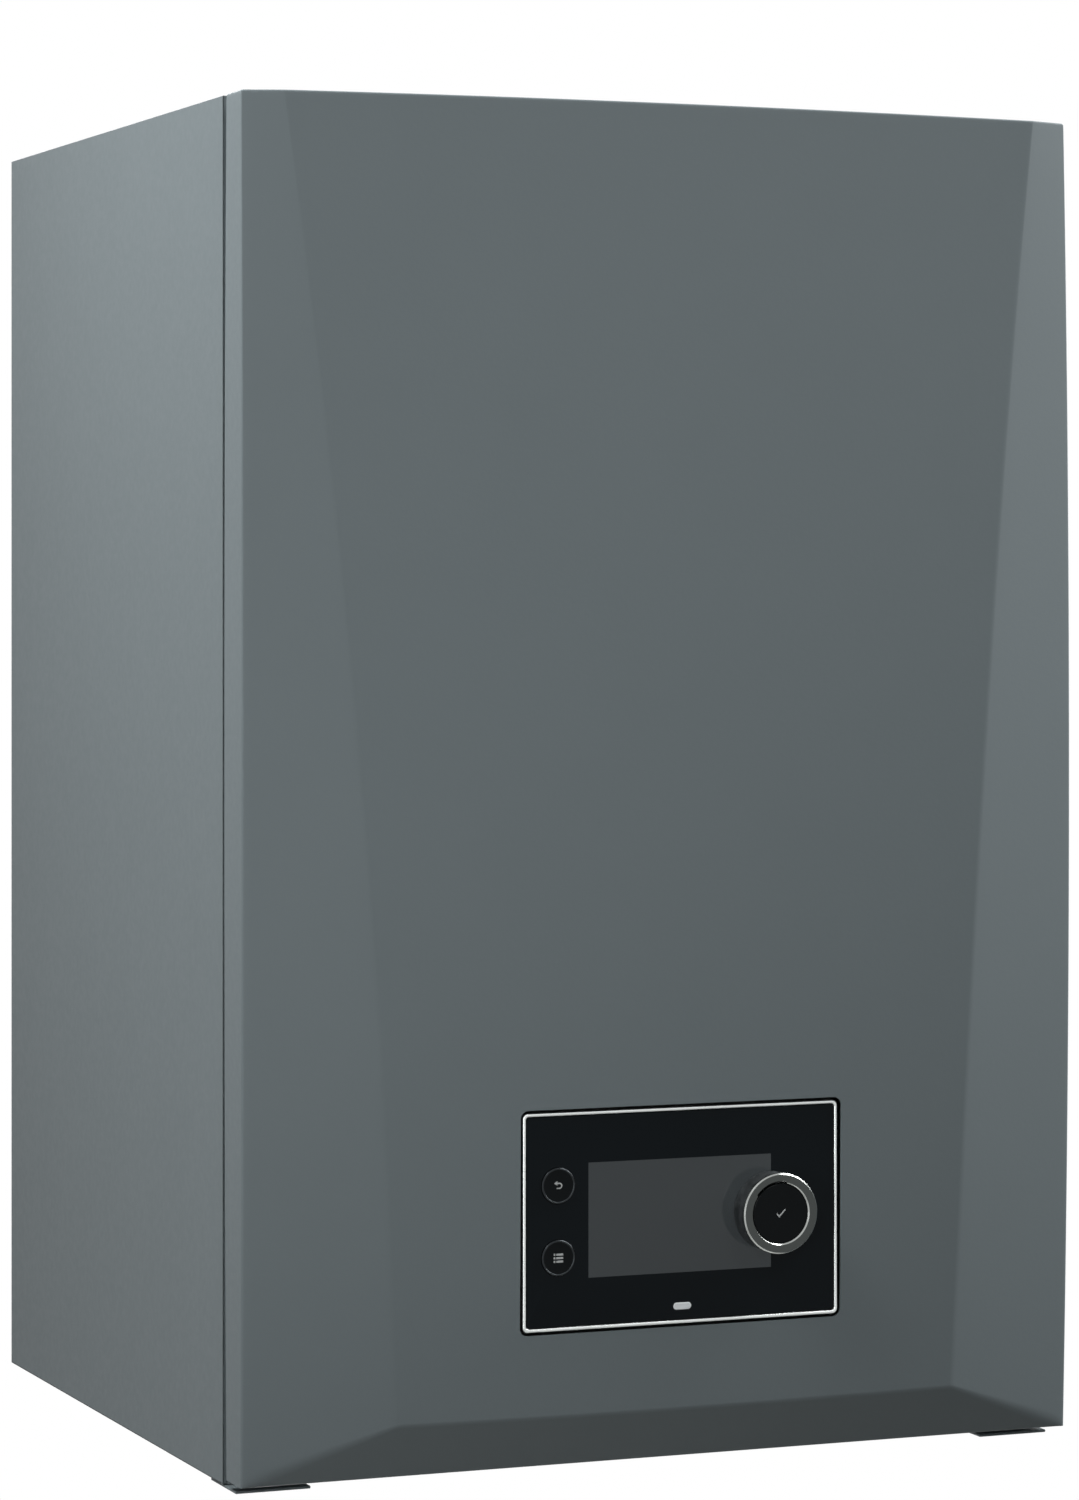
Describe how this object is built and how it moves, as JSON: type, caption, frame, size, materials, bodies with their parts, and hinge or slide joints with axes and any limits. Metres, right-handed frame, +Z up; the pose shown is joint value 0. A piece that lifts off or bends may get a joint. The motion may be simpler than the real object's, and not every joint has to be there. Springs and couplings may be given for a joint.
{
  "type": "wall-mounted condensing boiler",
  "caption": "Tall wall-mounted gas boiler with a facetted front cover, a framed display with a dial and buttons, and pipe stubs below.",
  "frame": {"origin": "middle of the wall bracket's back face, on the wall's plane, 690 mm above the casing's underside", "axes": "+Z up, -Y out of the wall towards the user, +X to the user's right"},
  "size_m": [0.4974, 0.4976, 0.808],
  "materials": {
    "anthracite_paint": "fine satin powder coat",
    "zinc_plate": "zinc plated",
    "cast_aluminium": "as cast",
    "stainless_steel": "stainless",
    "satin_nickel": "satin silver",
    "gunmetal": "dark satin",
    "copper": "copper tube",
    "brass": "turned",
    "gloss_black": "high gloss",
    "black_plastic": "matt",
    "grey_plastic": "matt",
    "display_film": "display off",
    "black_rubber": "foam",
    "white_plastic": "opal",
    "flue_plastic": "polypropylene",
    "circuit_board": "laminate",
    "red_plastic": "matt",
    "ceramic": "glazed ceramic"
  },
  "bodies": {
    "casing": {"air_vent": "brass", "back_panel": "zinc_plate", "bottom_plate": "anthracite_paint", "burner_cover": "cast_aluminium", "burner_seal": "ceramic", "burner_tube": "stainless_steel", "cable_gland_left": "black_plastic", "cable_gland_right": "black_plastic", "cleaning_cover": "cast_aluminium", "condensate_pipe": "flue_plastic", "condensate_tray": "black_plastic", "control_box": "black_plastic", "control_box_bracket_left": "zinc_plate", "control_box_bracket_right": "zinc_plate", "control_box_lid": "grey_plastic", "cover_seal": "black_rubber", "cover_tab_left": "anthracite_paint", "cover_tab_right": "anthracite_paint", "dial_sleeve": "brass", "display_screen": "display_film", "exchanger_bracket_left": "zinc_plate", "exchanger_bracket_right": "zinc_plate", "fan_housing": "cast_aluminium", "fan_motor": "zinc_plate", "flow_pipe": "copper", "flow_sensor": "black_plastic", "flue_collar": "flue_plastic", "flue_pipe": "flue_plastic", "gas_air_mixer": "black_plastic", "gas_pipe": "stainless_steel", "gas_valve": "cast_aluminium", "heat_exchanger": "cast_aluminium", "hmi_board": "circuit_board", "hmi_frame": "satin_nickel", "hmi_glass": "gloss_black", "hmi_housing": "black_plastic", "ignition_electrode": "ceramic", "ignition_transformer": "black_plastic", "intake_silencer": "black_plastic", "left_side_panel": "anthracite_paint", "main_circuit_board": "circuit_board", "pressure_sensor": "brass", "return_pipe": "copper", "right_side_panel": "anthracite_paint", "safety_valve": "brass", "siphon": "white_plastic", "status_light": "white_plastic", "top_panel": "anthracite_paint", "wall_bracket": "zinc_plate", "wiring_conduit": "black_plastic"},
    "front_cover": {"front_cover": "anthracite_paint"},
    "quarter_turn_screw_left": {"quarter_turn_screw_left": "zinc_plate"},
    "quarter_turn_screw_right": {"quarter_turn_screw_right": "zinc_plate"},
    "back_button": {"back_button": "gloss_black"},
    "menu_button": {"menu_button": "gloss_black"},
    "dial_ring": {"dial_ring": "gunmetal"},
    "confirm_button": {"confirm_button": "gloss_black"},
    "fan_impeller": {"fan_impeller": "black_plastic"},
    "safety_valve_knob": {"safety_valve_knob": "red_plastic"}
  },
  "joints": [
    {"name": "front_cover_tilt", "type": "hinge", "parent": "casing", "child": "front_cover", "pos_m": [0, -0.4379, 0.0559], "axis": [-1, 0, 0], "range_deg": [0, 30]},
    {"name": "quarter_turn_screw_left_turn", "type": "hinge", "parent": "casing", "child": "quarter_turn_screw_left", "pos_m": [-0.224, -0.4165, -0.69], "axis": [0, 0, 1], "range_deg": [0, 90]},
    {"name": "quarter_turn_screw_right_turn", "type": "hinge", "parent": "casing", "child": "quarter_turn_screw_right", "pos_m": [0.224, -0.4165, -0.69], "axis": [0, 0, 1], "range_deg": [0, 90]},
    {"name": "back_button_press", "type": "slide", "parent": "casing", "child": "back_button", "axis": [0, 1, 0], "range_m": [0, 0.0008], "stiffness_N_per_m": 400, "springref_m": -0.001},
    {"name": "menu_button_press", "type": "slide", "parent": "casing", "child": "menu_button", "axis": [0, 1, 0], "range_m": [0, 0.0008], "stiffness_N_per_m": 400, "springref_m": -0.001},
    {"name": "dial_turn", "type": "hinge", "parent": "casing", "child": "dial_ring", "pos_m": [0.0526, -0.4821, -0.5498], "axis": [0, 1, 0], "continuous": true},
    {"name": "confirm_press", "type": "slide", "parent": "casing", "child": "confirm_button", "axis": [0, 1, 0], "range_m": [0, 0.0012], "stiffness_N_per_m": 400, "springref_m": -0.001},
    {"name": "fan_spin", "type": "hinge", "parent": "casing", "child": "fan_impeller", "pos_m": [-0.08499, -0.3135, -0.06], "axis": [0, 0, 1], "continuous": true},
    {"name": "safety_valve_knob_turn", "type": "hinge", "parent": "casing", "child": "safety_valve_knob", "pos_m": [0.185, -0.2086, -0.53], "axis": [0, -1, 0], "range_deg": [0, 90]}
  ]
}
